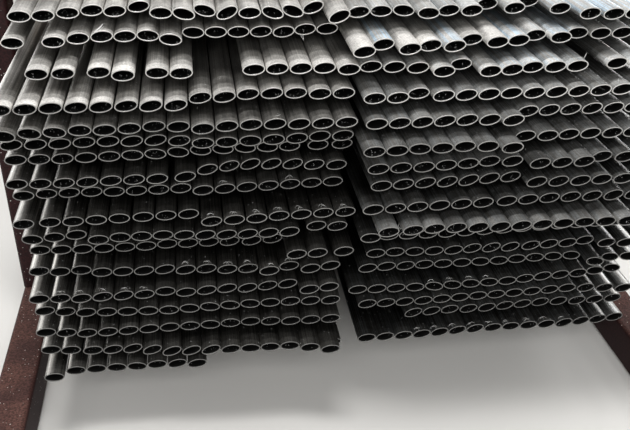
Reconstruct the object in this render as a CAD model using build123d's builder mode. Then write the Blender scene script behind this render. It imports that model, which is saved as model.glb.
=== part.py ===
"""Stack of oval aluminium tubes in layers, standing in a steel rack.

The tubes lie along Y with their sawn front ends towards -Y. X runs across the stack, +Z is up, and
the origin is on the floor under the middle of the rack. All sizes are in millimetres.
"""

from build123d import *
from math import cos, hypot, radians, sin
import os

# Tube stock
tube_width = 30.0
tube_height = 16.0
tube_wall = 1.5
tube_length = 3000.0

# Layout of a layer: two halves of touching tubes with a seam between them
tubes_per_half = 15
side_gap = 1.0
seam = 33.0
seat_gap = 0.3

# Laths between the layers, at even stations along the tubes
lath_thickness = 14.3
lath_width = 40.0
lath_overhang = 12.0
lath_columns = 4
lath_from_end = 430.0

# Rack
rail_width = 60.0
rail_height = 70.0
rail_wall = 4.0
rail_corner = 7.0
rail_past_tubes = 100.0
side_room = 25.0
post_depth = 60.0
post_wall = 4.0
post_corner = 7.0
post_setback = 340.0
post_above_tubes = 60.0
bearer_width = 50.0
bearer_height = 50.0
bearer_wall = 4.0
bearer_corner = 7.0

# Sizes that follow from these
tube_pitch = tube_width + side_gap
half_stack = seam / 2 + tubes_per_half * tube_pitch
rail_centre = half_stack + side_room + rail_width / 2
rail_length = tube_length + 2 * rail_past_tubes
first_station = lath_from_end - tube_length / 2
station_pitch = (tube_length - 2 * lath_from_end) / (lath_columns - 1)
stations = [first_station + station_pitch * number for number in range(lath_columns)]
bearer_top = rail_height + bearer_height


class Half:
    """One half of a layer, from its first tube on the left to its last on the right.

    shift moves the whole run in X, and looseness widens or narrows the gap between its tubes. breaks gives
    extra gaps, each before the tube of that number, and below zero where two tubes that lean the same way
    lie closer together. setbacks and leans are given at even steps along the run and change evenly between
    them: how far a front end stands behind the nominal end plane, and how far a section leans over, in
    degrees, with its right side up.
    """

    def __init__(self, setbacks, leans, shift=0.0, looseness=1.0, count=tubes_per_half, breaks=None):
        self.setbacks = setbacks
        self.leans = leans
        self.shift = shift
        self.looseness = looseness
        self.count = count
        self.breaks = breaks or {}


def along(values, share):
    """The value at a share of the way along a row of evenly spaced values."""
    place = share * (len(values) - 1)
    step = min(int(place), len(values) - 2)
    return values[step] + (values[step + 1] - values[step]) * (place - step)


# The layers from the bottom up, each as its left half and its right half
layers = [
    (
        Half((-6, 6, 6, 5, 3, 4, 2, -2, 36, 30, 26, 26, 24, 22, 22), (-2, -2, -9, 7, 4, 0, 2, 3), shift=7),
        Half((25, 23, 25, 23, 20, 25), (3, 6, 11, -4, 12, 5), looseness=0.6),
    ),
    (
        Half((22, 12, 8, -7, -12, -16, -18, -35), (-1, 0, 12, 14, 14, -6, -4, 1), shift=3, looseness=0.4,
             breaks={2: 3}),
        Half((40, 42, 38, 40, 42, 37, 36), (14, 4, 8, 5, 4, 5, 3), shift=80, count=12, looseness=1.3),
    ),
    (
        Half((24, 14, 12, 12, 10, 10, 3, 0), (0, 1, 3, 0, -7, -2, 0, 1)),
        Half((31, 28, 29, 29, 31, 18), (4, 2, -3, 0, 1, 6), looseness=0.5),
    ),
    (
        Half((36, 24, 18, 13, 13, 13, 11, 6), (3, 1, -4, -4, -10, -8, 0, 2), shift=1.5),
        Half((28, 24, 20, 20, 20, 25, 26, 33), (2, 2, -14, -9, -3, 6, 0, -8), shift=-17, looseness=0.5),
    ),
    (
        Half((21, 19, 15, 15, 14, 13, 17, 10, 11, 12, 9, 11, 12, -8, -5), (0, 3, 8, -3, 6, 8, 6, 2),
             looseness=0.8),
        Half((38, 39, 37, 37, 35, 34, 33, 32, 33, 33, 32, 31, 8, 18, 16), (4, 3, -3, -7, -4, -8, -11, -8),
             looseness=0.3),
    ),
    (
        Half((48, 43, 43, 33, 31, 29, 28, 23, 22, 16, 14, 3, 13, 1, 5), (1, -3, 0, 8, 3, 2, 2, 4),
             shift=1, looseness=0.9),
        Half((30, 30, 27, 25, 23, 24, 22, 20, 20, 21, 20, 24, 12, 8, 8), (-1, -4, 4, 12, 6, 4, 3, 2),
             shift=10, looseness=0.5, breaks={8: 3}),
    ),
    (
        Half((56, 53, 51, 49, 48, 47, 49, 47, 46, 44, 41, 43, -7, -7, -8), (-2, 0, -2, 0, 2, 6, 3, 2),
             shift=6, breaks={10: 2, 11: 1, 14: 8}),
        Half((30, 26, 23, 23, 24, 24, 24, 24), (0, 4, -2), shift=-1.5, looseness=0.3),
    ),
    (
        Half((34, 37, 40, 21, 24, 23, 22, 18, 14, 11, 9, 8, 7, 19, 14), (-8, 0, -5, -2, 5, 5, 4, 3),
             shift=3, looseness=0.6, breaks={3: 2.5, 13: 11}),
        Half((-27, 0, 3, 4, 4, 4, 5, 5, 5, 5, 5, 5, 5, 5, 5), (-2, 3, 2, 4), shift=-12),
    ),
    (
        Half((25, 26, 24, 24, 24, 24, 24, 24, -2, -2, -2, 1, 1, 1, 0), (1, -1, -4, 0, 3, 0, 2, 2),
             shift=-3, looseness=2.2, breaks={1: 4, 5: 1.5}),
        Half((-66, -65, -72, -74, -76, -82, -82), (3, 3, 7, 3, -4, 5, 3), shift=5, breaks={1: 4}),
    ),
    (
        Half((52, 54, 53, 52, 48, 47, 46, 46, 35, 36, 37, 37, 38, 38, 38), (-4, 1, 0, -1, 2, 3, 2, -1),
             shift=-2, looseness=1.6),
        Half((-55, -55, -55, -54, -59, -60), (3, 3, 3, 4, 10, 11), shift=-16, looseness=1.5, breaks={6: 3}),
    ),
    (
        Half((26, 23, 21, 20, 20, 19, 17, 18, 37, 44, 46, 43, 39, 33, 28), (-1, 2, 2, 2, 10, 14, 10, 3),
             shift=-2, looseness=1.8, breaks={7: 7, 10: -1, 11: -1, 12: -1, 13: -1}),
        Half((-46, -45, -45, -46, -46, -44, -43, -63, -65, -67, -67, -69, -69, -70, -70),
             (2, 8, 14, 8, 7, 4, 6, 6), shift=-4, looseness=1.2),
    ),
    (
        Half((36, 32, 31, 30, 34, 34, 32, 30), (-1, 1, -2, -8, -10, -9, -2, 2), looseness=1.5,
             breaks={13: 9, 14: 3}),
        Half((-58, -58, -60, -58, -57, -54, -58, -70, -71, -72, -60, -65, -64, -64, -64),
             (3, 1, 1, 5, 5, 6, 5, 7), shift=-12, looseness=1.2, breaks={7: 4}),
    ),
    (
        Half((15, 13, 11, 12, 11, 7, 6, 0, -12, -13, -13, -13, -13, -10, -12), (4, 2, 2, 7, -3, -4, 1, 3),
             shift=3, looseness=1.6),
        Half((-70, -70, -69, -70, -69, -73, -82, -47, -50, -49, -50, -52, -52, -53, -54),
             (1, -4, -1, 2, 2, 4, 6, 6), shift=-21, looseness=0.7),
    ),
    (
        Half((-29, -24, -24, -21, -24, -23, -20, -25, -36, -32, -31, -33, -37, -39, -40),
             (-11, -7, 0, 0, 0, 2, 3, 1), shift=6, looseness=1.4),
        Half((-51, -52, -53, -53, -54, -57, -63, -35, -35, -36, -37, -39, -39, -40, -41),
             (2, 6, 8, 6, 7, 8, 6, 6), shift=-15, looseness=0.5),
    ),
    (
        Half((-19, -19, -19, -21, -23, -24, -28, -30, -8, -9, -3, -4, -7, -14, -16),
             (1, 1, 3, 7, 6, 3, 1, 0), shift=4, looseness=1.5),
        Half((-40, -42, -30, -43, -44, -45, -45, -48, -49, -50, -51, -51, -51, -51, -52),
             (1, 3, 5, 4, 6, 5, 7, 7), shift=-17, looseness=0.7),
    ),
    (
        Half((22, 20, 19, 3, 7, 2, 3, 3, 0, -2, -12), (-3, 0, -4, 1, 1, 0), shift=49, count=11,
             breaks={1: 2.5, 2: 14, 3: 1, 4: 12, 6: 63}),
        Half((-5, -11, -18, -36, -11, -43, -41, -35, -38, -39, -35, -37, -38, -39),
             (2, 3, -1, 3, 4, 3, 4, 4), shift=-16, looseness=0.3, count=14, breaks={10: 27}),
    ),
    (
        Half((58, 56, 67, 72, 69, 68, 46, 74, 72, 69, 67, 62, 69, 68), (-5, 1, 2, -12, -5, -1, 4, 1),
             shift=18, looseness=0.4, count=14, breaks={1: 22}),
        Half((-37, -10, -33, -22, -29, -4, -20, -16, 3, -11, 5, -1, -2, -2, -2),
             (5, 4, 5, 3, 2, -2, 4, 8), shift=-32, looseness=0.3),
    ),
    (
        Half((69, 69, 78, 87, 79, 97, 62, 51, 63, 48, 48, 41, 45, 60, 12),
             (-4, -1, -2, 0, 1, 5, -5, -17, -19, 20, -1, -20, -21, 16, 18), shift=30, looseness=0.3,
             breaks={8: -1.8, 12: -1.8, 14: -1.6}),
        Half((33, 34, 32, 16, 26, 21, 50, 25, 56, 16, -13, -19, -19, -10, -12), (3, -10, 3, 1, 3, 3, 4, 4),
             shift=-27, looseness=0.3),
    ),
]


def half_span(lean):
    """Half the width of a tube's section that leans over by so many degrees."""
    return hypot(tube_width / 2 * cos(radians(lean)), tube_height / 2 * sin(radians(lean)))


def half_rise(lean):
    """Half the height of a tube's section that leans over by so many degrees."""
    return hypot(tube_height / 2 * cos(radians(lean)), tube_width / 2 * sin(radians(lean)))


def places_of(half, first_x):
    """Where a half's tubes lie: the X of each section's centre, its setback and its lean."""
    places = []
    left = first_x - tube_width / 2 + half.shift
    for number in range(half.count):
        share = number / (half.count - 1)
        setback = along(half.setbacks, share)
        lean = along(half.leans, share)
        left += half.breaks.get(number, 0.0)
        places.append((left + half_span(lean), setback, lean))
        left += 2 * half_span(lean) + side_gap * half.looseness
    return places


def box_tube(width, height, wall, corner, length, plane):
    """A rectangular hollow section with rounded corners, drawn on a plane and extruded both ways from it."""
    with BuildPart() as section:
        with BuildSketch(plane):
            RectangleRounded(width, height, corner)
            RectangleRounded(width - 2 * wall, height - 2 * wall, corner - wall, mode=Mode.SUBTRACT)
        extrude(amount=length / 2, both=True)
    return section.part


# One tube: an elliptical section extruded back from its front end
with BuildPart() as tube:
    with BuildSketch(Plane.XZ):
        Ellipse(tube_width / 2, tube_height / 2)
        Ellipse(tube_width / 2 - tube_wall, tube_height / 2 - tube_wall, mode=Mode.SUBTRACT)
    extrude(amount=-tube_length)

os.makedirs("parts", exist_ok=True)

# Layers of tubes: each tube rests on the laths below it, and the laths above rest on the tallest ones
lath_undersides = []
seat = bearer_top
for number, (left, right) in enumerate(layers, start=1):
    row = places_of(left, -half_stack + tube_pitch / 2) + places_of(right, (seam + tube_pitch) / 2)
    spots = [
        Location((x, setback - tube_length / 2, seat + seat_gap + half_rise(lean)), (0, -lean, 0))
        for x, setback, lean in row
    ]
    with BuildPart() as layer:
        with Locations(*spots):
            add(tube.part)
    name = f"tubes_layer_{number:02d}"
    layer.part.label = name
    export_step(layer.part, f"parts/{name}.step")
    layer_top = seat + seat_gap + 2 * max(half_rise(lean) for x, setback, lean in row)
    lath_undersides.append(layer_top + seat_gap)
    seat = layer_top + seat_gap + lath_thickness
stack_top = layer_top

# Laths: a column of them at each station, one in every gap between two layers
lath_length = 2 * (half_stack + lath_overhang)
for number, y in enumerate(stations, start=1):
    with BuildPart() as laths:
        for underside in lath_undersides[:-1]:
            with BuildSketch(Plane.XY.offset(underside)):
                with Locations((0, y)):
                    Rectangle(lath_length, lath_width)
            extrude(amount=lath_thickness)
    name = f"spacer_laths_{number}"
    laths.part.label = name
    export_step(laths.part, f"parts/{name}.step")

# Rack rails along the tubes, on the floor
for name, side in (("rack_rail_left", -1), ("rack_rail_right", 1)):
    rail_plane = Plane(origin=(side * rail_centre, 0, rail_height / 2), x_dir=(1, 0, 0), z_dir=(0, -1, 0))
    rail = box_tube(rail_width, rail_height, rail_wall, rail_corner, rail_length, rail_plane)
    rail.label = name
    export_step(rail, f"parts/{name}.step")

# Rack posts, standing on the rails and flush with their outer sides
post_height = stack_top + post_above_tubes - rail_height
post_y = tube_length / 2 - post_setback - post_depth / 2
for end, end_name in ((-1, "front"), (1, "back")):
    for side, side_name in ((-1, "left"), (1, "right")):
        foot = (side * rail_centre, end * post_y, rail_height + post_height / 2)
        post = box_tube(rail_width, post_depth, post_wall, post_corner, post_height, Plane(origin=foot))
        post.label = f"rack_post_{end_name}_{side_name}"
        export_step(post, f"parts/{post.label}.step")

# Cross bearers, lying on the rails under each station of laths
for number, y in enumerate(stations, start=1):
    bearer_plane = Plane(origin=(0, y, rail_height + bearer_height / 2), x_dir=(0, 1, 0), z_dir=(1, 0, 0))
    bearer_length = 2 * rail_centre + rail_width
    bearer = box_tube(bearer_width, bearer_height, bearer_wall, bearer_corner, bearer_length, bearer_plane)
    bearer.label = f"rack_bearer_{number}"
    export_step(bearer, f"parts/{bearer.label}.step")
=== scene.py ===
"""A stack of oval aluminium tubes in a steel rack, dressed for the camera.

Every layer of tubes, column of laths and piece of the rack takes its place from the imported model.
"""

import functools
import math
import random

import bpy
import numpy as np
from mathutils import Matrix, Vector


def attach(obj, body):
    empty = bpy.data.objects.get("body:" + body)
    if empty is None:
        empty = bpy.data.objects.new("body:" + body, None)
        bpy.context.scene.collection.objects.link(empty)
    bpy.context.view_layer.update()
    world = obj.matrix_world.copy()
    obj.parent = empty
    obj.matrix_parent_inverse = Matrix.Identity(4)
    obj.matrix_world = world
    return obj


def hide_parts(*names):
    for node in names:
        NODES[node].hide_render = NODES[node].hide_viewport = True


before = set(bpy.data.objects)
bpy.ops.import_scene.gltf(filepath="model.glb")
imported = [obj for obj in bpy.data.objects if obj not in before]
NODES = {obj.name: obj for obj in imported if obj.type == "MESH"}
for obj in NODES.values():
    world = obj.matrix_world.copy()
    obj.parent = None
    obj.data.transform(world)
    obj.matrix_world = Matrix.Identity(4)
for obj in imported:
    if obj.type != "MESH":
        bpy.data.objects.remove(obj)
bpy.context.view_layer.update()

bl_info = {
    "name": "Oval tube stack",
    "version": (1, 0, 0),
    "blender": (4, 2, 0),
    "location": "3D View > Sidebar > Tube stack",
    "description": "Builds a stack of oval aluminium tubes on laths in a steel rack",
    "category": "Add Mesh",
}

MM = 0.001
LAYERS = sorted(name for name in NODES if name.startswith("tubes_layer"))


def linear(hex_colour):
    """An sRGB hex colour as linear red, green and blue."""
    channels = [int(hex_colour[i:i + 2], 16) / 255 for i in (0, 2, 4)]
    return tuple(c / 12.92 if c <= 0.04045 else ((c + 0.055) / 1.055) ** 2.4 for c in channels)


# Settings


class TubeSettings(bpy.types.PropertyGroup):
    """How the tubes are cut and how their aluminium looks"""

    steps: bpy.props.IntProperty(
        name="Steps around", description="Straight steps around a tube's section",
        default=48, min=12, max=96)
    break_edge: bpy.props.FloatProperty(
        name="Broken edge", description="Width of the bevel that the saw and the file leave at a cut end",
        default=0.16 * MM, min=0.05 * MM, max=0.6 * MM, unit="LENGTH")
    cut_slant: bpy.props.FloatProperty(
        name="Cut slant", description="How far off square a saw cut may be",
        default=math.radians(0.6), min=0, max=math.radians(3), subtype="ANGLE")
    body: bpy.props.FloatVectorProperty(
        name="Body", description="Dull mill finish along the tube", size=3, subtype="COLOR",
        default=linear("86837d"), min=0, max=1)
    # Partly chalk from handling and partly painted light: the pale bands behind the cut ends
    chalk_and_light: bpy.props.FloatVectorProperty(
        name="Chalky ends", description="Pale, handled aluminium in bands behind a cut end", size=3,
        subtype="COLOR", default=linear("dddad5"), min=0, max=1)
    # Painted cool reflection: this bluish tint stands in for cool light reflected on the ends of some tubes
    # on the right
    film: bpy.props.FloatVectorProperty(
        name="Bluish film", description="Cold tint of the pale ends of some tubes on the right", size=3,
        subtype="COLOR", default=linear("c6dae9"), min=0, max=1)
    cut: bpy.props.FloatVectorProperty(
        name="Saw cut", description="Freshly sawn wall at a tube's end", size=3, subtype="COLOR",
        default=linear("dddcd9"), min=0, max=1)
    # Painted shade: the dark colour of the inside stands for the shade in the bore
    bore: bpy.props.FloatVectorProperty(
        name="Bore", description="Dark, oily inside of a tube", size=3, subtype="COLOR",
        default=linear("2c2b2a"), min=0, max=1)


class SwarfSettings(bpy.types.PropertyGroup):
    """Chips and curls that the saw left"""

    in_bore: bpy.props.IntProperty(
        name="Chips in a bore", description="About how many chips lie in a bore near its end",
        default=4, min=0, max=12)
    on_top: bpy.props.IntProperty(
        name="Chips on a tube", description="About how many chips lie on a tube near its end",
        default=2, min=0, max=12)
    curls: bpy.props.IntProperty(
        name="Curls on an end", description="How many curls arch over an end", default=2, min=1, max=8)
    bright: bpy.props.FloatVectorProperty(
        name="Chip", description="Freshly cut aluminium", size=3, subtype="COLOR", default=linear("f0f0ee"),
        min=0, max=1)


class LathSettings(bpy.types.PropertyGroup):
    """The rough laths between the layers"""

    slack: bpy.props.FloatProperty(
        name="Slack", description="How much shorter than its place a lath may be at each end",
        default=9 * MM, min=0, max=30 * MM, unit="LENGTH")
    wood: bpy.props.FloatVectorProperty(
        name="Wood", description="Softwood, grey with age", size=3, subtype="COLOR",
        default=linear("8a6d4f"), min=0, max=1)


class RackSettings(bpy.types.PropertyGroup):
    """The painted steel rack"""

    paint: bpy.props.FloatVectorProperty(
        name="Paint", description="Dark red-brown primer", size=3, subtype="COLOR",
        default=linear("2a1213"), min=0, max=1)
    dust: bpy.props.FloatVectorProperty(
        name="Dust", description="Workshop dust on the faces that look up", size=3, subtype="COLOR",
        default=linear("5c413a"), min=0, max=1)


class StageSettings(bpy.types.PropertyGroup):
    """Floor, light and camera"""

    floor: bpy.props.FloatVectorProperty(
        name="Floor", description="Plain pale floor", size=3, subtype="COLOR",
        default=linear("dcdad6"), min=0, max=1)
    sky: bpy.props.FloatProperty(
        name="Surround", description="Strength of the even light from all sides",
        default=0.15, min=0, max=2)


# Materials. Inputs that share a name are told by number: Map Range reads 1 to 2 and gives 3 to 4, Mix goes
# from colour 6 to colour 7 by 0, and Mapping scales by 3


def add_node(tree, kind, inputs=(), **settings):
    """Adds a shader node, sets what it is given and links its inputs."""
    made = tree.nodes.new("ShaderNode" + kind)
    for name, value in settings.items():
        setattr(made, name, value)
    for socket, value in dict(inputs).items():
        if isinstance(value, bpy.types.NodeSocket):
            tree.links.new(value, made.inputs[socket])
        else:
            made.inputs[socket].default_value = value
    return made


def new_material(name):
    """An empty node material and its Principled shader."""
    material = bpy.data.materials.new(name)
    material.use_nodes = True
    tree = material.node_tree
    tree.nodes.clear()
    shader = tree.nodes.new("ShaderNodeBsdfPrincipled")
    output = tree.nodes.new("ShaderNodeOutputMaterial")
    tree.links.new(shader.outputs[0], output.inputs[0])
    return material, tree, shader


def mill_finish_aluminium(settings):
    """Extruded aluminium as it left the die: satin grey metal with fine lines along the tube.

    Behind each cut end the skin is paler in two or three bands: partly where it was clamped, wiped and
    handled, partly painted light where the end stands clear of the layer above. Grains of dust and bright
    specks of swarf lie on it. The upper layers get a painted pale haze, the less pale tubes painted shade
    on their bodies, and some tubes a painted cool reflection in bluish streaks.
    """
    material, tree, shader = new_material("mill_finish_aluminium")
    place = add_node(tree, "Attribute", attribute_name="tube_place")
    chance = add_node(tree, "Attribute", attribute_name="tube_chance")
    finish = add_node(tree, "Attribute", attribute_name="tube_finish_and_light")
    from_end = add_node(tree, "SeparateXYZ", {0: place.outputs["Vector"]}).outputs[1]
    dice = add_node(tree, "SeparateXYZ", {0: chance.outputs["Vector"]})
    kind = add_node(tree, "SeparateXYZ", {0: finish.outputs["Vector"]})
    # From each tube: how pale its end is (partly painted light, and painted shade on the body when low),
    # the strength of its painted cool reflection and its palest band's length
    pale, cool_reflection, near = kind.outputs

    # The section's own coordinates, moved apart from tube to tube
    own = add_node(tree, "VectorMath", {0: place.outputs["Vector"], 1: chance.outputs["Vector"]},
                   operation="ADD")

    # Die lines: real ones are hair-fine, so these are drawn 1.5 mm wide to show, and half a metre long
    wide, long = 1.5 * MM, 500 * MM
    lines_at = add_node(tree, "Mapping", {0: own.outputs[0], 3: (1 / wide, 1 / long, 1 / wide)})
    lines = add_node(tree, "TexNoise", {"Vector": lines_at.outputs[0], "Scale": 1, "Detail": 1})
    streak = add_node(tree, "MapRange", {0: lines.outputs[0], 1: 0.35, 2: 0.68, 3: 0.45, 4: 1.5})
    # Stains and wiped places
    wide, long = 22 * MM, 60 * MM
    stains_at = add_node(tree, "Mapping", {0: own.outputs[0], 3: (1 / wide, 1 / long, 1 / wide)})
    stains = add_node(tree, "TexNoise", {"Vector": stains_at.outputs[0], "Scale": 1, "Detail": 5})
    # How far a band's edge wanders, smoothly over some 25 mm
    wander = add_node(tree, "TexNoise", {"Vector": own.outputs[0], "Scale": 1 / (25 * MM), "Detail": 0})
    # Dust grains, drawn 2.5 mm wide so that they show
    grains = add_node(tree, "TexNoise", {"Vector": own.outputs[0], "Scale": 1 / (2.5 * MM), "Detail": 2})
    grain = add_node(tree, "MapRange", {0: grains.outputs[0], 1: 0.3, 2: 0.7, 3: 0.75, 4: 1.2})
    # Grit and swarf, specks of 1 to 2 mm
    specks_at = add_node(tree, "Mapping", {0: own.outputs[0], 3: (1 / (7 * MM),) * 3})
    specks = add_node(tree, "TexVoronoi", {"Vector": specks_at.outputs[0], "Scale": 1})

    # Bands, partly handling marks and partly painted light where the end stands clear of the layer above:
    # each ends at a wavy edge with a thin pale line, and the next one reaches a little further back.
    # For each: how many mm further, how many more at most, and how pale
    bands = ((0, 0, 0.4), (10, 14, 0.25), (12, 18, 0.14))
    wave, soft, line_half, line_pale = 2.5 * MM, 0.4 * MM, 0.7 * MM, 0.12
    chalk_and_light_mask = 0.02
    length = near
    for (start, spread, weight), die in zip(bands, dice.outputs):
        further = add_node(tree, "Math", {0: die, 1: spread * MM, 2: start * MM},
                           operation="MULTIPLY_ADD").outputs[0]
        length = add_node(tree, "Math", {0: length, 1: further}, operation="ADD").outputs[0]
        edge = add_node(tree, "Math", {0: wander.outputs[0], 1: wave, 2: length},
                        operation="MULTIPLY_ADD").outputs[0]
        past = add_node(tree, "Math", {0: from_end, 1: edge}, operation="SUBTRACT").outputs[0]
        inside = add_node(tree, "MapRange", {0: past, 1: -soft, 2: soft, 3: weight, 4: 0}).outputs[0]
        line = add_node(tree, "Math", {0: past, 1: 0, 2: line_half}, operation="COMPARE").outputs[0]
        lined_edge = add_node(tree, "Math", {0: line, 1: line_pale, 2: inside},
                              operation="MULTIPLY_ADD").outputs[0]
        chalk_and_light_mask = add_node(tree, "Math", {0: lined_edge, 1: chalk_and_light_mask}, operation="ADD").outputs[0]
    mottled = add_node(tree, "MapRange", {0: stains.outputs[0], 1: 0.3, 2: 0.7, 3: 0.65, 4: 1.3}).outputs[0]
    # Painted light: a pale haze that lights up the upper layers, from none at 0.49 m to its strongest at
    # 0.66 m above the floor, scaled by how pale the tube is
    spot = add_node(tree, "TexCoord")
    height = add_node(tree, "SeparateXYZ", {0: spot.outputs["Object"]}).outputs[2]
    dust = add_node(tree, "MapRange", {0: height, 1: 0.49, 2: 0.66, 3: 0, 4: 0.24}).outputs[0]
    bands_and_haze = add_node(tree, "Math", {0: chalk_and_light_mask, 1: pale, 2: dust}, operation="MULTIPLY_ADD").outputs[0]
    chalk_and_light_mask = add_node(tree, "Math", {0: bands_and_haze, 1: mottled}, operation="MULTIPLY", use_clamp=True).outputs[0]

    # Painted cool reflection: a bluish tint in streaks, over the dull skin as over the pale bands, standing
    # in for cool light reflected from the right
    streaky = add_node(tree, "MapRange", {0: lines.outputs[0], 1: 0.46, 2: 0.58, 3: 0.05, 4: 1}).outputs[0]
    film = add_node(tree, "Math", {0: cool_reflection, 1: streaky}, operation="MULTIPLY").outputs[0]
    # Painted shade: a tube's body goes from a darker copy of the body colour to the body colour as its
    # paleness rises, so the lower, less pale layers look shaded
    deep = (*[c * 0.55 for c in settings.body], 1)
    body = add_node(tree, "Mix", {0: pale, 6: deep, 7: (*settings.body, 1)}, data_type="RGBA")
    dim_cool_reflection = (*[c * 0.33 for c in settings.film], 1)
    tinted = add_node(tree, "Mix", {0: film, 6: body.outputs[2], 7: dim_cool_reflection}, data_type="RGBA")
    lined = add_node(tree, "VectorMath", {0: tinted.outputs[2], "Scale": streak.outputs[0]},
                     operation="SCALE")
    chalk_and_light = add_node(tree, "Mix", {0: film, 6: (*settings.chalk_and_light, 1), 7: (*settings.film, 1)},
                     data_type="RGBA")
    powder = add_node(tree, "Mix", {0: chalk_and_light_mask, 6: lined.outputs[0], 7: chalk_and_light.outputs[2]}, data_type="RGBA")
    grainy = add_node(tree, "VectorMath", {0: powder.outputs[2], "Scale": grain.outputs[0]},
                      operation="SCALE")
    speck = add_node(tree, "MapRange", {0: specks.outputs[0], 1: 0.07, 2: 0.13, 3: 1, 4: 0}).outputs[0]
    rare = add_node(tree, "SeparateColor", {0: specks.outputs[1]})
    some = add_node(tree, "Math", {0: rare.outputs[0], 1: 0.68}, operation="GREATER_THAN").outputs[0]
    swarf = add_node(tree, "Math", {0: speck, 1: some}, operation="MULTIPLY").outputs[0]
    fresh = (*linear("ededed"), 1)
    colour = add_node(tree, "Mix", {0: swarf, 6: grainy.outputs[0], 7: fresh}, data_type="RGBA")
    tree.links.new(colour.outputs[2], shader.inputs["Base Color"])

    dull = add_node(tree, "Math", {0: chalk_and_light_mask, 1: swarf}, operation="MAXIMUM").outputs[0]
    metal = add_node(tree, "MapRange", {0: dull, 1: 0, 2: 0.8, 3: 1, 4: 0.35})
    tree.links.new(metal.outputs[0], shader.inputs["Metallic"])
    rough = add_node(tree, "Math", {0: stains.outputs[0], 1: 0.16, 2: 0.26}, operation="MULTIPLY_ADD")
    rougher = add_node(tree, "Math", {0: chalk_and_light_mask, 1: 0.4, 2: rough.outputs[0]}, operation="MULTIPLY_ADD")
    tree.links.new(rougher.outputs[0], shader.inputs["Roughness"])
    bump = add_node(tree, "Bump", {"Height": lines.outputs[0], "Distance": 0.03 * MM, "Strength": 0.6})
    tree.links.new(bump.outputs[0], shader.inputs["Normal"])
    return material


def sawn_aluminium(settings):
    """The wall at a cut end: bare aluminium with the marks of the saw's teeth, darkened lower down by
    painted shade.
    """
    material, tree, shader = new_material("sawn_aluminium")
    spot = add_node(tree, "TexCoord")
    # Tooth marks, 2 mm long and 0.7 mm apart
    marks_at = add_node(tree, "Mapping", {0: spot.outputs["Object"], 3: (1 / (2 * MM), 1, 1 / (0.7 * MM))})
    marks = add_node(tree, "TexNoise", {"Vector": marks_at.outputs[0], "Scale": 1, "Detail": 2})
    # Dirt in patches of 25 mm
    dirt_at = add_node(tree, "Mapping", {0: spot.outputs["Object"], 3: (1 / (25 * MM),) * 3})
    dirt = add_node(tree, "TexNoise", {"Vector": dirt_at.outputs[0], "Scale": 1, "Detail": 3})
    # Painted shade: the cut faces darken lower down, as in the shade of the layers above, and are brighter
    # from the upper left to the upper right: 0.1 m in height counts as 1 m to the side
    where = add_node(tree, "SeparateXYZ", {0: spot.outputs["Object"]}).outputs
    height = add_node(tree, "Math", {0: where[0], 1: 0.1, 2: where[2]}, operation="MULTIPLY_ADD").outputs[0]
    shade_lower = add_node(tree, "MapRange", {0: height, 1: 0.51, 2: 0.59, 3: 0.8, 4: 0}).outputs[0]
    shade_lowest = add_node(tree, "MapRange", {0: height, 1: 0.28, 2: 0.34, 3: 0.15, 4: 0}).outputs[0]
    low = add_node(tree, "Math", {0: shade_lower, 1: shade_lowest}, operation="ADD").outputs[0]
    # Dirt in patches, plus painted shade lower down
    dirt_and_shade = add_node(tree, "Math", {0: dirt.outputs[0], 1: 0.25, 2: low}, operation="MULTIPLY_ADD",
                      use_clamp=True).outputs[0]
    # Dark end of the mix, for dirt and for painted shade
    dull = (*[c * 0.27 for c in settings.cut], 1)
    colour = add_node(tree, "Mix", {0: dirt_and_shade, 6: (*settings.cut, 1), 7: dull}, data_type="RGBA")
    tree.links.new(colour.outputs[2], shader.inputs["Base Color"])
    shader.inputs["Metallic"].default_value = 0.7
    rough = add_node(tree, "MapRange", {0: marks.outputs[0], 1: 0.3, 2: 0.7, 3: 0.34, 4: 0.52})
    tree.links.new(rough.outputs[0], shader.inputs["Roughness"])
    bump = add_node(tree, "Bump", {"Height": marks.outputs[0], "Distance": 0.04 * MM, "Strength": 0.5})
    tree.links.new(bump.outputs[0], shader.inputs["Normal"])
    return material


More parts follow.
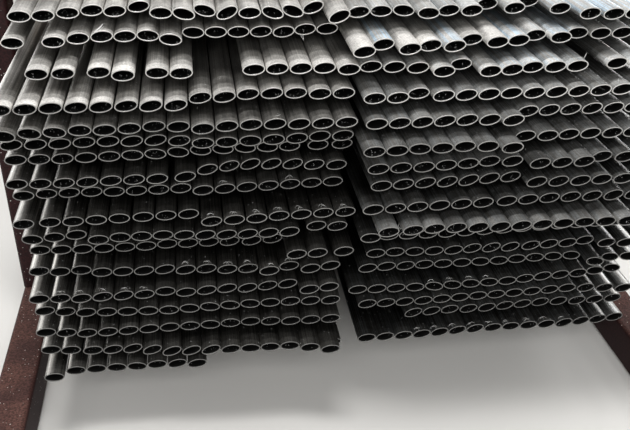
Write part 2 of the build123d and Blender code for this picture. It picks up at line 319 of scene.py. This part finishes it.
def dark_bore(settings):
    """The inside of a tube: aluminium in painted shade, darker deeper in, with oil in patches on its
    roughness and chips of swarf near the end.
    """
    material, tree, shader = new_material("dark_bore_aluminium")
    place = add_node(tree, "Attribute", attribute_name="tube_place")
    chance = add_node(tree, "Attribute", attribute_name="tube_chance")
    own = add_node(tree, "VectorMath", {0: place.outputs["Vector"], 1: chance.outputs["Vector"]},
                   operation="ADD")
    # Chips of 1 to 2 mm
    chips_at = add_node(tree, "Mapping", {0: own.outputs[0], 3: (1 / (4 * MM),) * 3})
    chips = add_node(tree, "TexVoronoi", {"Vector": chips_at.outputs[0], "Scale": 1})
    chip = add_node(tree, "MapRange", {0: chips.outputs[0], 1: 0.16, 2: 0.24, 3: 1, 4: 0}).outputs[0]
    pick = add_node(tree, "SeparateColor", {0: chips.outputs[1]})
    some = add_node(tree, "Math", {0: pick.outputs[0], 1: 0.86}, operation="GREATER_THAN").outputs[0]
    lit = add_node(tree, "Math", {0: chip, 1: some}, operation="MULTIPLY").outputs[0]
    # Painted shade: lighter within 10 mm of the end, darker deeper in the bore
    depth = add_node(tree, "SeparateXYZ", {0: place.outputs["Vector"]}).outputs[1]
    shade = add_node(tree, "MapRange", {0: depth, 1: 0, 2: 10 * MM, 3: 1.4, 4: 0.5}).outputs[0]
    oily = add_node(tree, "VectorMath", {0: settings.bore, "Scale": shade}, operation="SCALE").outputs[0]
    colour = add_node(tree, "Mix", {0: lit, 6: oily, 7: (*linear("cbcbcb"), 1)}, data_type="RGBA")
    tree.links.new(colour.outputs[2], shader.inputs["Base Color"])
    shader.inputs["Metallic"].default_value = 0.7
    # The oil lies in patches of 15 mm
    film = add_node(tree, "TexNoise", {"Vector": own.outputs[0], "Scale": 1 / (15 * MM), "Detail": 3})
    rough = add_node(tree, "MapRange", {0: film.outputs[0], 1: 0.3, 2: 0.7, 3: 0.35, 4: 0.6})
    tree.links.new(rough.outputs[0], shader.inputs["Roughness"])
    return material


def bright_swarf(settings):
    """Chips off the saw: bare aluminium, bright on the cut side and crumpled, so the light breaks on it."""
    material, tree, shader = new_material("cut_aluminium_swarf")
    spot = add_node(tree, "TexCoord")
    # Crumples 1 mm wide
    crumple = add_node(tree, "TexNoise", {"Vector": spot.outputs["Object"], "Scale": 1 / MM, "Detail": 2})
    dull = (*[c * 0.6 for c in settings.bright], 1)
    colour = add_node(tree, "Mix", {0: crumple.outputs[0], 6: dull, 7: (*settings.bright, 1)},
                      data_type="RGBA")
    tree.links.new(colour.outputs[2], shader.inputs["Base Color"])
    rough = add_node(tree, "MapRange", {0: crumple.outputs[0], 1: 0.3, 2: 0.7, 3: 0.3, 4: 0.6})
    tree.links.new(rough.outputs[0], shader.inputs["Roughness"])
    return material


def rough_softwood(settings):
    """Sawn softwood laths: dry, dull, with grain along the lath and darker late wood."""
    material, tree, shader = new_material("sawn_softwood")
    spot = add_node(tree, "TexCoord")
    # Grain, along X
    long, wide = 330 * MM, 3 * MM
    grain_at = add_node(tree, "Mapping", {0: spot.outputs["Object"], 3: (1 / long, 1 / wide, 1 / wide)})
    grain = add_node(tree, "TexNoise", {"Vector": grain_at.outputs[0], "Scale": 1, "Detail": 4,
                                        "Distortion": 0.4})
    dark = (*[c * 0.5 for c in settings.wood], 1)
    colour = add_node(tree, "Mix", {0: grain.outputs[0], 6: dark, 7: (*settings.wood, 1)}, data_type="RGBA")
    tree.links.new(colour.outputs[2], shader.inputs["Base Color"])
    rough = add_node(tree, "MapRange", {0: grain.outputs[0], 1: 0.3, 2: 0.7, 3: 0.9, 4: 0.7})
    tree.links.new(rough.outputs[0], shader.inputs["Roughness"])
    bump = add_node(tree, "Bump", {"Height": grain.outputs[0], "Distance": 0.3 * MM, "Strength": 0.7})
    tree.links.new(bump.outputs[0], shader.inputs["Normal"])
    return material


def primer_paint(settings):
    """Red-brown primer brushed on hollow section: matt, gritty, dusty on top and flecked with white."""
    material, tree, shader = new_material("red_brown_primer")
    spot = add_node(tree, "TexCoord")
    shape = add_node(tree, "NewGeometry")
    up = add_node(tree, "SeparateXYZ", {0: shape.outputs["Normal"]})
    # Blotches of dust about 60 mm across
    blotch = add_node(tree, "TexNoise", {"Vector": spot.outputs["Object"], "Scale": 1 / (60 * MM),
                                         "Detail": 6})
    top = add_node(tree, "MapRange", {0: up.outputs[2], 1: 0.3, 2: 1, 3: 0, 4: 0.75}).outputs[0]
    patchy = add_node(tree, "MapRange", {0: blotch.outputs[0], 1: 0.4, 2: 0.6, 3: 0.5, 4: 1}).outputs[0]
    dusty = add_node(tree, "Math", {0: top, 1: patchy}, operation="MULTIPLY").outputs[0]
    # Brush marks and wear, 6 mm
    wear = add_node(tree, "TexNoise", {"Vector": spot.outputs["Object"], "Scale": 1 / (6 * MM),
                                       "Detail": 4})
    deep = (*[c * 0.6 for c in settings.paint], 1)
    paint = add_node(tree, "Mix", {0: wear.outputs[0], 6: deep, 7: (*settings.paint, 1)}, data_type="RGBA")
    dusted = add_node(tree, "Mix", {0: dusty, 6: paint.outputs[2], 7: (*settings.dust, 1)},
                      data_type="RGBA")
    # Coarse grit in the paint, 3 mm
    grit = add_node(tree, "TexNoise", {"Vector": spot.outputs["Object"], "Scale": 1 / (3 * MM),
                                       "Detail": 3})
    rubbed = add_node(tree, "MapRange", {0: grit.outputs[0], 1: 0.35, 2: 0.65, 3: 0.6, 4: 1.6}).outputs[0]
    gritty = add_node(tree, "VectorMath", {0: dusted.outputs[2], "Scale": rubbed}, operation="SCALE")
    # White flecks of 1 to 3 mm
    flecks = add_node(tree, "TexVoronoi", {"Vector": spot.outputs["Object"], "Scale": 1 / (6 * MM)})
    ragged = add_node(tree, "Math", {0: wear.outputs[0], 1: 0.3, 2: flecks.outputs[0]},
                      operation="MULTIPLY_ADD")
    fleck = add_node(tree, "MapRange", {0: ragged.outputs[0], 1: 0.24, 2: 0.32, 3: 1, 4: 0}).outputs[0]
    pick = add_node(tree, "SeparateColor", {0: flecks.outputs[1]})
    some = add_node(tree, "Math", {0: pick.outputs[0], 1: 0.6}, operation="GREATER_THAN").outputs[0]
    white = add_node(tree, "Math", {0: fleck, 1: some}, operation="MULTIPLY").outputs[0]
    speckle = (*linear("c4c0bc"), 1)
    colour = add_node(tree, "Mix", {0: white, 6: gritty.outputs[0], 7: speckle}, data_type="RGBA")
    tree.links.new(colour.outputs[2], shader.inputs["Base Color"])
    rough = add_node(tree, "MapRange", {0: dusty, 1: 0, 2: 0.75, 3: 0.6, 4: 0.9})
    tree.links.new(rough.outputs[0], shader.inputs["Roughness"])
    # Chalked paint has little sheen
    shader.inputs["Specular IOR Level"].default_value = 0.2
    bump = add_node(tree, "Bump", {"Height": wear.outputs[0], "Distance": 0.15 * MM, "Strength": 0.6})
    tree.links.new(bump.outputs[0], shader.inputs["Normal"])
    return material


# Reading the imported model


def solids_of(node):
    """The corner points of each separate solid in a node, with points closer than 0.001 mm as one."""
    mesh = node.data
    points = np.empty(len(mesh.vertices) * 3)
    mesh.vertices.foreach_get("co", points)
    points, weld = np.unique(np.round(points.reshape(-1, 3), 6), axis=0, return_inverse=True)
    ends = np.empty(len(mesh.edges) * 2, int)
    mesh.edges.foreach_get("vertices", ends)
    ends = weld.reshape(-1)[ends].reshape(-1, 2)
    label = np.arange(len(points))
    while True:
        low = np.minimum(label[ends[:, 0]], label[ends[:, 1]])
        joined = label.copy()
        np.minimum.at(joined, ends[:, 0], low)
        np.minimum.at(joined, ends[:, 1], low)
        joined = joined[joined]
        if (joined == label).all():
            return [points[label == number] for number in np.unique(label)]
        label = joined


def tube_of(points):
    """What a tube's corner points say: centre, lean, ends, half axes and wall."""
    end_depth = 0.5 * MM
    front, back = points[:, 1].min(), points[:, 1].max()
    ring = points[points[:, 1] < front + end_depth][:, (0, 2)]
    centre = (ring.min(0) + ring.max(0)) / 2
    ring = ring - centre
    axes = np.linalg.eigh(ring.T @ ring)[1]
    long_axis = axes[:, 1] * (1 if axes[0, 1] > 0 else -1)
    along = ring @ long_axis
    across = ring @ np.array((-long_axis[1], long_axis[0]))
    half_width, half_height = along.max(), across.max()
    # Points within 0.95 of the outline are on the bore
    reach = np.hypot(along / half_width, across / half_height)
    wall = half_width - along[reach < 0.95].max()
    return {"centre": centre, "lean": math.atan2(long_axis[1], long_axis[0]), "front": front, "back": back,
            "half_width": half_width, "half_height": half_height, "wall": wall}


@functools.cache
def tubes_in(layer):
    """The tubes of a layer node, from left to right."""
    return sorted((tube_of(solid) for solid in solids_of(NODES[layer])), key=lambda tube: tube["centre"][0])


# Building


def finish_piece(name, points, faces, materials, replaced):
    """Makes an object of points and faces that rides on the root and stands for a node of the model."""
    mesh = bpy.data.meshes.new(name)
    mesh.from_pydata(points, [], faces)
    mesh.update()
    piece = bpy.data.objects.new(name, mesh)
    bpy.context.scene.collection.objects.link(piece)
    for material in materials:
        mesh.materials.append(material)
    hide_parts(replaced)
    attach(piece, "root")
    return piece


def tube_rings(tube, settings, dice):
    """The rings of one tube, along its outside from back to front and back through the bore.

    With each ring comes where its points lie in the section, and how far from the nearest end.
    """
    turns = np.linspace(0, 2 * math.pi, settings.steps, endpoint=False)
    edge = settings.break_edge
    wall = tube["wall"]
    front, back = tube["front"], tube["back"]
    middle = (front + back) / 2
    slant = [dice.uniform(-1, 1) * math.tan(settings.cut_slant) for _ in range(4)]
    path = [(0, back - edge), (0, middle), (0, front + edge), (edge, front), (wall - edge, front),
            (wall, front + edge), (wall, middle), (wall, back - edge), (wall - edge, back), (edge, back)]
    cos_lean, sin_lean = math.cos(tube["lean"]), math.sin(tube["lean"])
    rings, places = [], []
    for inset, y in path:
        along = (tube["half_width"] - inset) * np.cos(turns)
        across = (tube["half_height"] - inset) * np.sin(turns)
        skew = np.zeros_like(turns)
        if y != middle:
            tilt = slant[:2] if y < middle else slant[2:]
            lift = np.abs(tilt[0]) * tube["half_width"] + np.abs(tilt[1]) * tube["half_height"]
            skew = tilt[0] * along + tilt[1] * across + (lift if y < middle else -lift)
        x = tube["centre"][0] + along * cos_lean - across * sin_lean
        z = tube["centre"][1] + along * sin_lean + across * cos_lean
        rings.append(np.stack([x, y + skew, z], 1))
        places.append(np.stack([along, np.full_like(turns, min(y - front, back - y)), across], 1))
    return rings, places


# How pale the ends are at the first and at the last tube of a half, and how many mm the palest band
# is long, in the left and right half, from the top layer down. The paleness is partly handling marks and
# partly painted light: higher layers lit, lower ones darkened by painted shade
END_LOOKS = (
    ((0.3, 0.35, 18), (0.25, 0.3, 28)),
    ((0.85, 0.25, 9), (0.75, 0.6, 25)),
    ((1.1, 1.05, 15), (0.5, 1.0, 9)),
    ((0.92, 0.5, 14), (0.45, 0.5, 14)),
    ((0.35, 0.35, 8), (0.4, 0.4, 14)),
    ((0.25, 0.25, 5), (0.4, 0.45, 24)),
    ((0.2, 0.25, 6), (0.3, 0.35, 24)),
    ((0.25, 0.25, 5), (0.25, 0.3, 6)),
    ((0.25, 0.25, 6), (0.3, 0.3, 7)),
    ((0.15, 0.2, 12), (0.55, 0.5, 17)),
)
# The same in all the layers below those
LOWER_ENDS = ((0.15, 0.15, 11), (0.15, 0.15, 11))

# How far across the right half starts, and how far from the middle the outermost tubes lie
SEAM = -6 * MM
REACH = 450 * MM

# How strong the painted cool reflection, a bluish tint, is on a tube of the right half; the left half has
# none
FAINT_COOL_REFLECTION = 0.25

# Tubes unlike the rest of their layer, counted from the left: palest band in mm, partly painted light, and
# strength of the painted cool reflection
ODD_TUBES = {
    18: {15: (28, 0.2), 19: (24, 0.4), 22: (20, 0.3), 24: (34, 0.5), 25: (60, 0.9), 26: (70, 1),
         27: (60, 0.9), 28: (60, 0.8)},
    17: {14: (52, 0), 15: (38, 1), 16: (50, 0), 17: (24, 0), 18: (40, 1), 19: (13, 0), 20: (50, 0),
         21: (30, 0.9), 22: (36, 0.3), 23: (19, 0.8), 24: (6, 0.5), 25: (6, 0)},
    16: {17: (12, 0.8), 18: (16, 0.5), 19: (12, 0.5), 20: (10, 0.4)},
}


def finish_and_light_of(tube, number, index, dice):
    """How pale a tube's end is, partly painted light and shade, how strong its painted cool reflection and
    how long its palest band.
    """
    from_top = len(LAYERS) - number
    halves = END_LOOKS[from_top] if from_top < len(END_LOOKS) else LOWER_ENDS
    across = tube["centre"][0]
    right = bool(across > SEAM)
    first, last, near = halves[right]
    share = min(1, abs(across) / REACH)
    pale = (first + (last - first) * (share if right else 1 - share)) * dice.uniform(0.8, 1.15)
    usual = (near * dice.uniform(0.75, 1.35), FAINT_COOL_REFLECTION * right)
    near, cool_reflection = ODD_TUBES.get(number, {}).get(index, usual)
    return pale, cool_reflection, near * MM


class STACK_OT_tubes(bpy.types.Operator):
    """Build the layers of tubes, one piece for each layer of the model"""

    bl_idname = "tube_stack.tubes"
    bl_label = "Build tubes"

    def execute(self, context):
        settings = context.scene.tube_settings
        materials = [mill_finish_aluminium(settings), sawn_aluminium(settings), dark_bore(settings)]
        dice = random.Random(3)
        for number, name in enumerate(LAYERS, start=1):
            self.build_layer(name, number, settings, materials, dice)
        return {"FINISHED"}

    def build_layer(self, name, number, settings, materials, dice):
        """One layer: a closed ring of strips for each tube, with its own coordinates and dice."""
        points, faces, kinds, places, chances, finishes_and_light = [], [], [], [], [], []
        # Skin twice, bevel, cut face, bevel, bore twice, bevel, cut face, bevel
        strip_kinds = (0, 0, 1, 1, 1, 2, 2, 1, 1, 1)
        steps = settings.steps
        for index, tube in enumerate(tubes_in(name)):
            rings, place = tube_rings(tube, settings, dice)
            base = len(points) * steps
            chance = [dice.random() for _ in range(3)]
            finish = finish_and_light_of(tube, number, index, dice)
            for ring, where in zip(rings, place):
                points.append(ring)
                places.append(where)
                chances.append(np.tile(chance, (steps, 1)))
                finishes_and_light.append(np.tile(finish, (steps, 1)))
            for strip, kind in enumerate(strip_kinds):
                here = base + strip * steps
                there = base + (strip + 1) % len(rings) * steps
                for step in range(steps):
                    after = (step + 1) % steps
                    faces.append((here + step, there + step, there + after, here + after))
                    kinds.append(kind)
        piece = finish_piece(name + "_piece", np.concatenate(points), faces, materials,
                             name)
        mesh = piece.data
        mesh.polygons.foreach_set("material_index", kinds)
        attributes = {"tube_place": places, "tube_chance": chances, "tube_finish_and_light": finishes_and_light}
        for label, values in attributes.items():
            attribute = mesh.attributes.new(label, "FLOAT_VECTOR", "POINT")
            attribute.data.foreach_set("vector", np.concatenate(values).astype(np.float32).ravel())
        mesh.shade_smooth()
        mesh.set_sharp_from_angle(angle=math.radians(30))


# The tubes with curls that arch over their end, counted from the left, by layer, and where across the tube
# the curls stand, as a share of its half width
CURLY = {1: (range(18, 27), -0.35), 4: (range(19, 23), -0.35), 5: (range(6), 0.1), 6: (range(7, 13), 0.15),
         9: (range(8, 15), -0.05), 10: ((9, 12), 0), 16: ((20,), 0.3)}

# Long slivers: layer, tube, on top (1) or at the lip of the bore (-1), share of the half width, mm behind
# the end, mm long and wide, heading and rise in degrees
LONG_SLIVERS = (
    (17, 3, 1, -0.6, 0.5, 17, 3.6, 22, 14),
    (17, 3, 1, -0.1, 3, 9, 1.2, 35, 5),
    (17, 12, -1, -0.6, 1, 13, 0.9, -75, -50),
    (17, 12, -1, -0.3, 1, 9, 0.9, -100, -60),
    (16, 20, 1, 0.6, 4, 14, 0.9, 40, 10),
    (16, 24, 1, 0.2, 2, 9, 0.9, -10, 15),
    (18, 22, 1, 0.2, 12, 13, 0.9, 20, 8),
    (14, 11, 1, 0.1, 6, 9, 0.9, -30, 10),
    (15, 26, 1, -0.4, 3, 10, 0.9, 50, 15),
)

# The bores up to this layer are cleaner and hold so much less of the chips
CLEAN_LAYERS = 8
CLEAN_SHARE = 0.4


class STACK_OT_swarf(bpy.types.Operator):
    """Scatter chips and curls of swarf on the tube ends and in the bores"""

    bl_idname = "tube_stack.swarf"
    bl_label = "Scatter swarf"

    def execute(self, context):
        settings = context.scene.swarf_settings
        dice = random.Random(7)
        points, faces = [], []
        for number, name in enumerate(LAYERS, start=1):
            share = 1 if number > CLEAN_LAYERS else CLEAN_SHARE
            curly, across = CURLY.get(number, ((), 0))
            for index, tube in enumerate(tubes_in(name)):
                for _ in range(round(dice.random() * settings.in_bore * share * 2)):
                    spot = self.on_wall(tube, -1, dice.uniform(-0.65, 0.65), dice.uniform(1, 30) * MM)
                    length, bend = dice.uniform(1.2, 3) * MM, dice.uniform(60, 300)
                    self.add_sliver(spot, length, bend, dice, points, faces)
                for _ in range(round(dice.random() * settings.on_top * 2)):
                    spot = self.on_wall(tube, 1, dice.uniform(-0.7, 0.7), dice.uniform(1, 60) * MM)
                    length, bend = dice.uniform(0.8, 2) * MM, dice.uniform(20, 150)
                    self.add_sliver(spot, length, bend, dice, points, faces)
                for _ in range(settings.curls if index in curly else 0):
                    to_side = across + dice.uniform(-0.05, 0.45)
                    spot = self.on_wall(tube, 1, to_side, dice.uniform(0.5, 2.5) * MM)
                    length, bend = dice.uniform(12, 18) * MM, dice.uniform(195, 225)
                    heading, rise = dice.uniform(-15, 15), 75
                    self.add_sliver(spot, length, bend, dice, points, faces, heading, rise)
        for number, index, side, to_side, back, length, widest, heading, rise in LONG_SLIVERS:
            spot = self.on_wall(tubes_in(LAYERS[number - 1])[index], side, to_side, back * MM)
            bend = 25
            self.add_sliver(spot, length * MM, bend, dice, points, faces, heading, rise, widest)
        mesh = bpy.data.meshes.new("swarf")
        mesh.from_pydata(points, [], faces)
        mesh.materials.append(bright_swarf(settings))
        mesh.shade_smooth()
        swarf = bpy.data.objects.new("swarf", mesh)
        context.scene.collection.objects.link(swarf)
        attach(swarf, "root")
        return {"FINISHED"}

    def on_wall(self, tube, side, share, back):
        """A spot just clear of the top of a tube (side 1) or of the bottom of its bore (side -1)."""
        clear = 0.3 * MM
        inset = 0 if side > 0 else tube["wall"]
        along = (tube["half_width"] - inset) * share
        across = side * (tube["half_height"] - inset) * math.sqrt(1 - share ** 2) + clear
        cos_lean, sin_lean = math.cos(tube["lean"]), math.sin(tube["lean"])
        return Vector((tube["centre"][0] + along * cos_lean - across * sin_lean, tube["front"] + back,
                       tube["centre"][1] + along * sin_lean + across * cos_lean))

    def add_sliver(self, spot, length, bend, dice, points, faces, heading=None, rise=0, widest=0.6):
        """A three-sided sliver, up to so many mm wide, that curls through so many degrees from a spot."""
        # Flat, a piece for each 35 degrees of its curl, and drifting sideways as it goes
        flat, piece_bend, drift = (1, 0.35, 0.35), 35, 0.15
        heading = math.radians(dice.uniform(0, 360) if heading is None else heading)
        pieces = max(3, round(bend / piece_bend))
        turn = Matrix.Rotation(heading, 3, "Z") @ Matrix.Rotation(-math.radians(rise), 3, "Y")
        # Real curls are half as wide: these are drawn so that they show
        width = min(0.22 * length, widest * MM)
        place, slope, base = Vector(), 0.0, len(points)
        for ring in range(pieces + 1):
            thin = 1 - 0.7 * abs(2 * ring / pieces - 1)
            for corner in range(3):
                angle = corner * 2 * math.pi / 3
                out = Vector((-math.sin(slope) * math.sin(angle), math.cos(angle),
                              math.cos(slope) * math.sin(angle)))
                points.append(spot + turn @ (place + out * width * thin * flat[corner]))
            slope += math.radians(bend) / pieces
            place += Vector((math.cos(slope), drift, math.sin(slope))) * length / pieces
        for ring in range(pieces):
            for corner in range(3):
                here, after = base + ring * 3 + corner, base + ring * 3 + (corner + 1) % 3
                faces.append((here, after, after + 3, here + 3))
        faces.append((base, base + 2, base + 1))
        faces.append(tuple(base + pieces * 3 + corner for corner in range(3)))


class STACK_OT_laths(bpy.types.Operator):
    """Build the laths between the layers, one piece for each column of them"""

    bl_idname = "tube_stack.laths"
    bl_label = "Build laths"

    def execute(self, context):
        settings = context.scene.lath_settings
        wood = rough_softwood(settings)
        dice = random.Random(11)
        for name in sorted(n for n in NODES if n.startswith("spacer_laths")):
            points, faces = [], []
            for solid in solids_of(NODES[name]):
                self.add_lath(solid.min(0), solid.max(0), settings, dice, points, faces)
            finish_piece(name + "_piece", points, faces, [wood], name)
        return {"FINISHED"}

    def add_lath(self, low, high, settings, dice, points, faces):
        """A sawn bar with small broken edges, a little shorter and narrower than its place."""
        narrower, edge = 3 * MM, 1.2 * MM
        x0, x1 = low[0] + dice.uniform(0, settings.slack), high[0] - dice.uniform(0, settings.slack)
        y0, y1 = low[1] + dice.uniform(0, narrower), high[1] - dice.uniform(0, narrower)
        z0, z1 = low[2], high[2]
        profile = [(y0 + edge, z0), (y1 - edge, z0), (y1, z0 + edge), (y1, z1 - edge),
                   (y1 - edge, z1), (y0 + edge, z1), (y0, z1 - edge), (y0, z0 + edge)]
        middle = ((y0 + y1) / 2, (z0 + z1) / 2)
        shrink = 1 - edge / (z1 - z0)
        base = len(points)
        sections = [(x0, shrink), (x0 + edge, 1), (x1 - edge, 1), (x1, shrink)]
        for x, share in sections:
            for y, z in profile:
                points.append((x, middle[0] + (y - middle[0]) * share, middle[1] + (z - middle[1]) * share))
        count = len(profile)
        for section in range(len(sections) - 1):
            here = base + section * count
            for side in range(count):
                after = (side + 1) % count
                faces.append((here + side, here + after, here + count + after, here + count + side))
        faces.append(tuple(base + side for side in reversed(range(count))))
        faces.append(tuple(base + 3 * count + side for side in range(count)))


class STACK_OT_rack(bpy.types.Operator):
    """Paint the rails, posts and cross bearers of the rack"""

    bl_idname = "tube_stack.rack"
    bl_label = "Paint rack"

    def execute(self, context):
        paint = primer_paint(context.scene.rack_settings)
        for name, node in NODES.items():
            if name.startswith("rack"):
                node.data.materials.clear()
                node.data.materials.append(paint)
        return {"FINISHED"}


# Lamps: name, place, the point it looks at, how wide and high it is, watts, and into how many degrees it
# shines. The two at the sides are narrow, so that they leave no pool of light on the floor
LAMPS = (
    ("window", (0.4, 1.5, 4.2), (0.1, -1.5, 0.6), (3.2, 0.6), 115, 180),
    ("right_window", (2.6, 0.9, 2.7), (0.4, -1.3, 0.7), (1.4, 1.0), 24, 180),
    ("key", (-0.3, -2.0, 4.2), (0, -1.4, 0.5), (1.6, 1.0), 100, 180),
    ("front", (-0.4, -4.2, 2.0), (0, -1.4, 0.4), (2.4, 1.6), 80, 180),
    ("left_edge", (-2.55, 1.65, 1.1), (-0.4, -1.4, 0.3), (1.4, 1.6), 5, 60),
    ("right_edge", (2.73, 1.48, 1.28), (0.4, -1.4, 0.3), (1.1, 1.1), 4, 60),
)

# The camera stands 1.05 m in front of the tube ends and above them. It is turned to the right, tipped up
# from straight down, and rolled a little, all in degrees; its lens is in mm
CAMERA_PLACE = (-0.209, -2.550, 0.975)
CAMERA_TURN = -8.208
CAMERA_TIP = 90 - 29.330
CAMERA_ROLL = 0.215
LENS = 48.12
SENSOR = 36


class STACK_OT_stage(bpy.types.Operator):
    """Lay the floor, hang the lamps and set the camera"""

    bl_idname = "tube_stack.stage"
    bl_label = "Build stage"

    def execute(self, context):
        settings = context.scene.stage_settings
        scene = context.scene
        scene.view_settings.view_transform = "Standard"
        self.floor(settings)
        world = bpy.data.worlds.new("surround")
        scene.world = world
        world.use_nodes = True
        background = world.node_tree.nodes["Background"]
        background.inputs[0].default_value = (1, 1, 1, 1)
        background.inputs[1].default_value = settings.sky
        for lamp in LAMPS:
            self.lamp(*lamp)
        self.camera(scene)
        return {"FINISHED"}

    def floor(self, settings):
        """A wide pale floor."""
        half = 30
        corners = [(-half, -half, 0), (half, -half, 0), (half, half, 0), (-half, half, 0)]
        mesh = bpy.data.meshes.new("floor")
        mesh.from_pydata(corners, [], [(0, 1, 2, 3)])
        material, _, shader = new_material("pale_floor")
        shader.inputs["Base Color"].default_value = (*settings.floor, 1)
        shader.inputs["Roughness"].default_value = 0.9
        mesh.materials.append(material)
        floor = bpy.data.objects.new("floor", mesh)
        bpy.context.scene.collection.objects.link(floor)

    def lamp(self, name, place, target, size, power, spread):
        """A soft lamp, so wide and so high, that looks at a point and shines into so many degrees."""
        light = bpy.data.lights.new(name, "AREA")
        light.shape = "RECTANGLE"
        light.size, light.size_y = size
        light.energy = power
        light.spread = math.radians(spread)
        lamp = bpy.data.objects.new(name, light)
        bpy.context.scene.collection.objects.link(lamp)
        lamp.visible_camera = False
        lamp.location = place
        lamp.rotation_euler = (Vector(target) - Vector(place)).to_track_quat("-Z", "Y").to_euler()

    def camera(self, scene):
        """A camera at the photograph's viewpoint, looking down at the tube ends."""
        data = bpy.data.cameras.new("camera")
        data.sensor_width = SENSOR
        data.lens = LENS
        data.clip_end = 100
        camera = bpy.data.objects.new("camera", data)
        scene.collection.objects.link(camera)
        turn = Matrix.Rotation(math.radians(CAMERA_TURN), 4, "Z")
        tip = Matrix.Rotation(math.radians(CAMERA_TIP), 4, "X")
        roll = Matrix.Rotation(math.radians(CAMERA_ROLL), 4, "Z")
        camera.matrix_world = Matrix.Translation(CAMERA_PLACE) @ turn @ tip @ roll
        scene.camera = camera


class STACK_PT_panel(bpy.types.Panel):
    """Lists the steps and settings of the stack"""

    bl_idname = "STACK_PT_panel"
    bl_label = "Tube stack"
    bl_space_type = "VIEW_3D"
    bl_region_type = "UI"
    bl_category = "Tube stack"

    def draw(self, context):
        for step in STEPS:
            self.layout.operator(step.bl_idname)
        for name, group in SETTINGS.items():
            box = self.layout.box()
            for key in group.__annotations__:
                box.prop(getattr(context.scene, name), key)


STEPS = (STACK_OT_stage, STACK_OT_tubes, STACK_OT_swarf, STACK_OT_laths, STACK_OT_rack)
SETTINGS = {
    "tube_settings": TubeSettings,
    "swarf_settings": SwarfSettings,
    "lath_settings": LathSettings,
    "rack_settings": RackSettings,
    "stage_settings": StageSettings,
}


def register():
    for kind in (*SETTINGS.values(), *STEPS, STACK_PT_panel):
        bpy.utils.register_class(kind)
    for name, kind in SETTINGS.items():
        setattr(bpy.types.Scene, name, bpy.props.PointerProperty(type=kind))


def unregister():
    for name in SETTINGS:
        delattr(bpy.types.Scene, name)
    for kind in (STACK_PT_panel, *STEPS, *SETTINGS.values()):
        bpy.utils.unregister_class(kind)


def main():
    """Builds the stage and the stack."""
    register()
    bpy.ops.tube_stack.stage()
    bpy.ops.tube_stack.tubes()
    bpy.ops.tube_stack.swarf()
    bpy.ops.tube_stack.laths()
    bpy.ops.tube_stack.rack()


if __name__ == "__main__":
    main()
